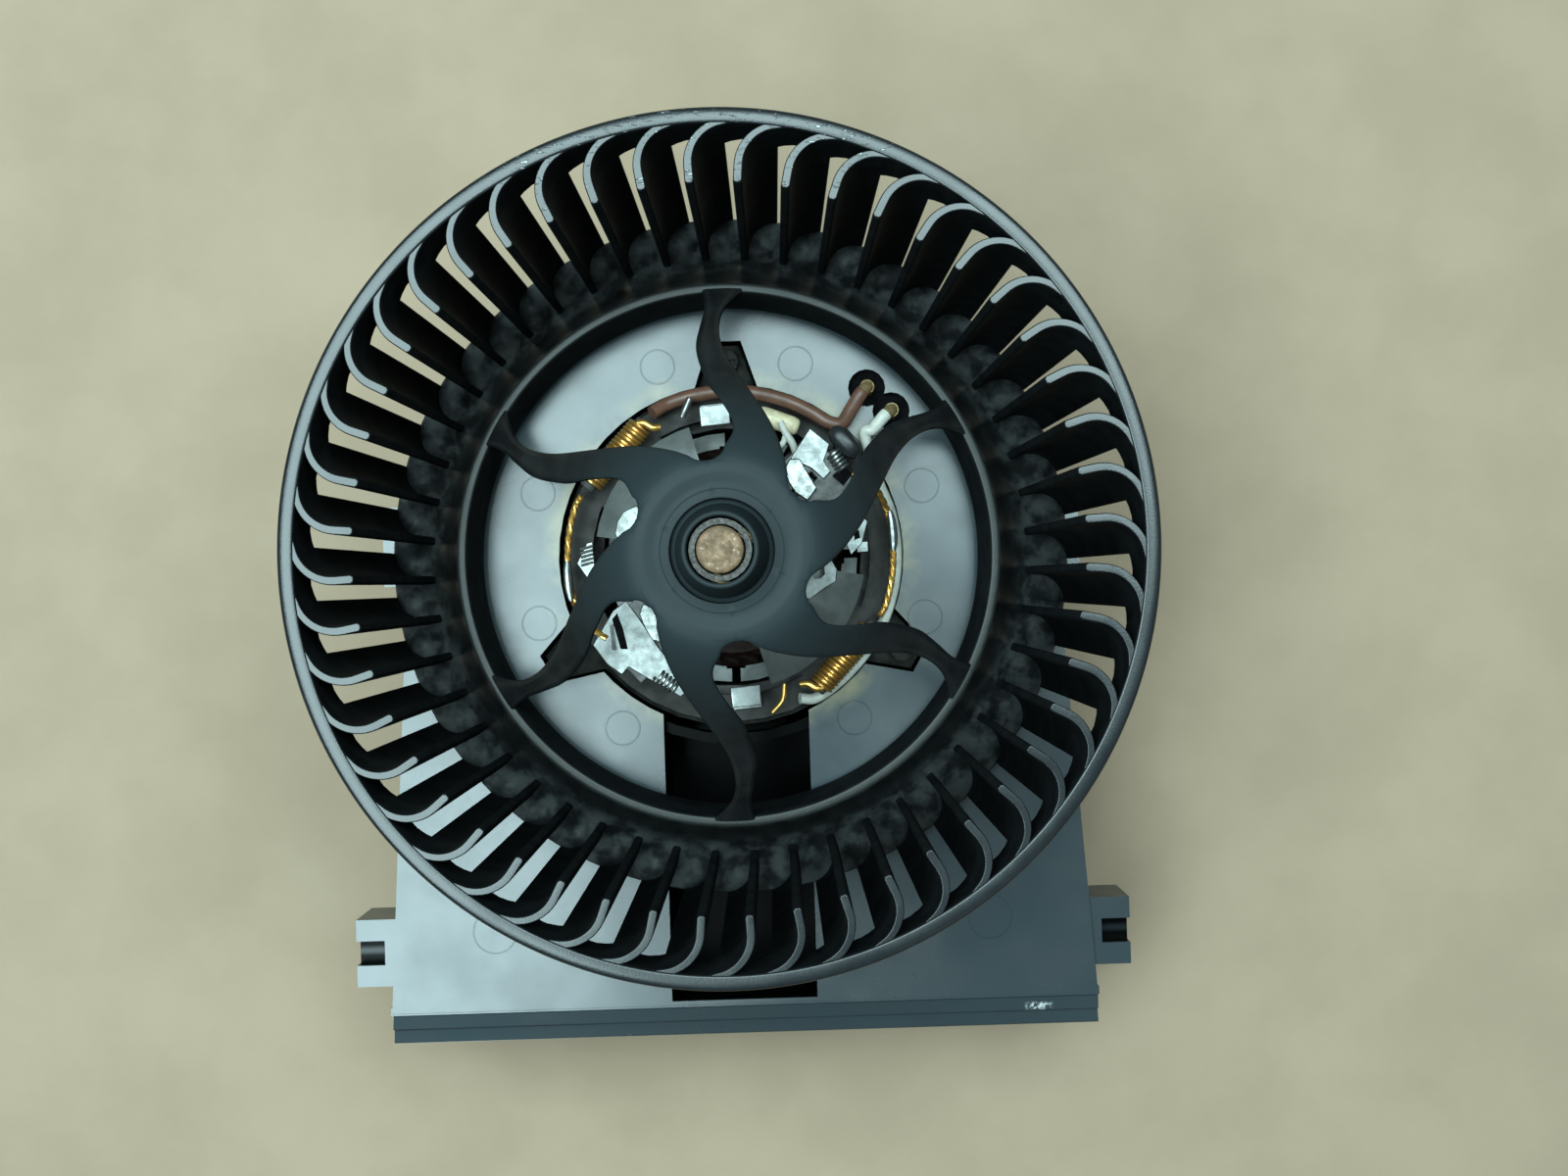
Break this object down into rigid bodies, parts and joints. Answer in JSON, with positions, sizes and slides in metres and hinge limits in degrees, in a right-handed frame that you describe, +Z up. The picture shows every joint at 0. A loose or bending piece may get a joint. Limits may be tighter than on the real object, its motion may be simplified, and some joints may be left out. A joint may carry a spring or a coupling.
{
  "type": "heater blower motor with wheel",
  "caption": "Squirrel-cage blower wheel with curved spokes on a brush motor, held by rubber dampers in a tapered slide-in base with an air channel and side lugs.",
  "frame": {"origin": "on the shaft axis at the underside of the rear cover, where the blower stands", "axes": "+Z up the shaft towards the air inlet, +Y towards the rounded rear of the base, +X to the right seen from above with the base's square front towards -Y"},
  "size_m": [0.1558, 0.169, 0.1186],
  "materials": {
    "wheel_plastic": "satin black glass-filled polypropylene, worn to grey on the edges",
    "base_plastic": "dark grey moulded plastic with a soft gloss",
    "card_plastic": "grey phenolic moulding",
    "bright_steel": "bright zinc-plated stamped steel",
    "grey_steel": "dull grey zinc-coated steel",
    "shaft_steel": "ground steel with brown surface rust on its end",
    "copper": "enamelled copper wire",
    "brass": "tinned brass",
    "bronze": "oil-filled sintered bronze",
    "ferrite": "dark grey ferrite",
    "carbon": "pressed carbon",
    "rubber": "black rubber",
    "capacitor_coat": "dark dipped coating",
    "brown_insulation": "brown PVC insulation",
    "white_insulation": "off-white PVC insulation",
    "cream_ceramic": "cream glazed body",
    "fibre": "pressed fibre washer"
  },
  "bodies": {
    "base": {"motor_can": "grey_steel", "rear_bearing": "bronze", "bearing_retainer": "bright_steel", "magnet_1": "ferrite", "magnet_spring_1": "bright_steel", "magnet_2": "ferrite", "magnet_spring_2": "bright_steel", "motor_mount_ring": "grey_steel", "brush_card": "card_plastic", "bearing_bridge": "grey_steel", "front_bearing": "bronze", "card_clip_1": "bright_steel", "card_clip_2": "bright_steel", "lead_brown": "brown_insulation", "lead_white": "white_insulation", "suppression_capacitor": "capacitor_coat", "ceramic_suppressor": "cream_ceramic", "bearing_clamp": "bright_steel", "connector_housing": "wheel_plastic", "terminal_brown": "brass", "terminal_white": "brass", "base_housing": "base_plastic", "rear_cover": "base_plastic", "brush_holder_1": "bright_steel", "brush_spring_1": "bright_steel", "choke_core_1": "ferrite", "choke_coil_1": "copper", "pigtail_1": "copper", "brush_holder_2": "bright_steel", "brush_spring_2": "bright_steel", "choke_core_2": "ferrite", "choke_coil_2": "copper", "pigtail_2": "copper", "damper_1": "rubber", "mount_screw_1": "bright_steel", "cover_screw_1": "bright_steel", "damper_2": "rubber", "mount_screw_2": "bright_steel", "cover_screw_2": "bright_steel", "damper_3": "rubber", "mount_screw_3": "bright_steel", "cover_screw_3": "bright_steel"},
    "rotor": {"fan_wheel": "wheel_plastic", "hub_bush": "brass", "hub_clamp_ring": "bright_steel", "motor_shaft": "shaft_steel", "thrust_washer_lower": "fibre", "thrust_washer_upper": "fibre", "armature_core": "grey_steel", "armature_winding": "copper", "commutator": "copper"},
    "brush_slider_1": {"brush_1": "carbon"},
    "brush_slider_2": {"brush_2": "carbon"}
  },
  "joints": [
    {"name": "wheel_spin", "type": "hinge", "parent": "base", "child": "rotor", "pos_m": [0, 0, 0.06], "axis": [0, 0, 1], "continuous": true},
    {"name": "brush_1_slide", "type": "slide", "parent": "base", "child": "brush_slider_1", "axis": [0.7431, 0.6691, 0], "range_m": [0, 0.003], "stiffness_N_per_m": 80, "springref_m": -0.012, "deforming": ["brush_spring_1"]},
    {"name": "brush_2_slide", "type": "slide", "parent": "base", "child": "brush_slider_2", "axis": [-0.7431, -0.6691, 0], "range_m": [0, 0.003], "stiffness_N_per_m": 80, "springref_m": -0.012, "deforming": ["brush_spring_2"]}
  ]
}
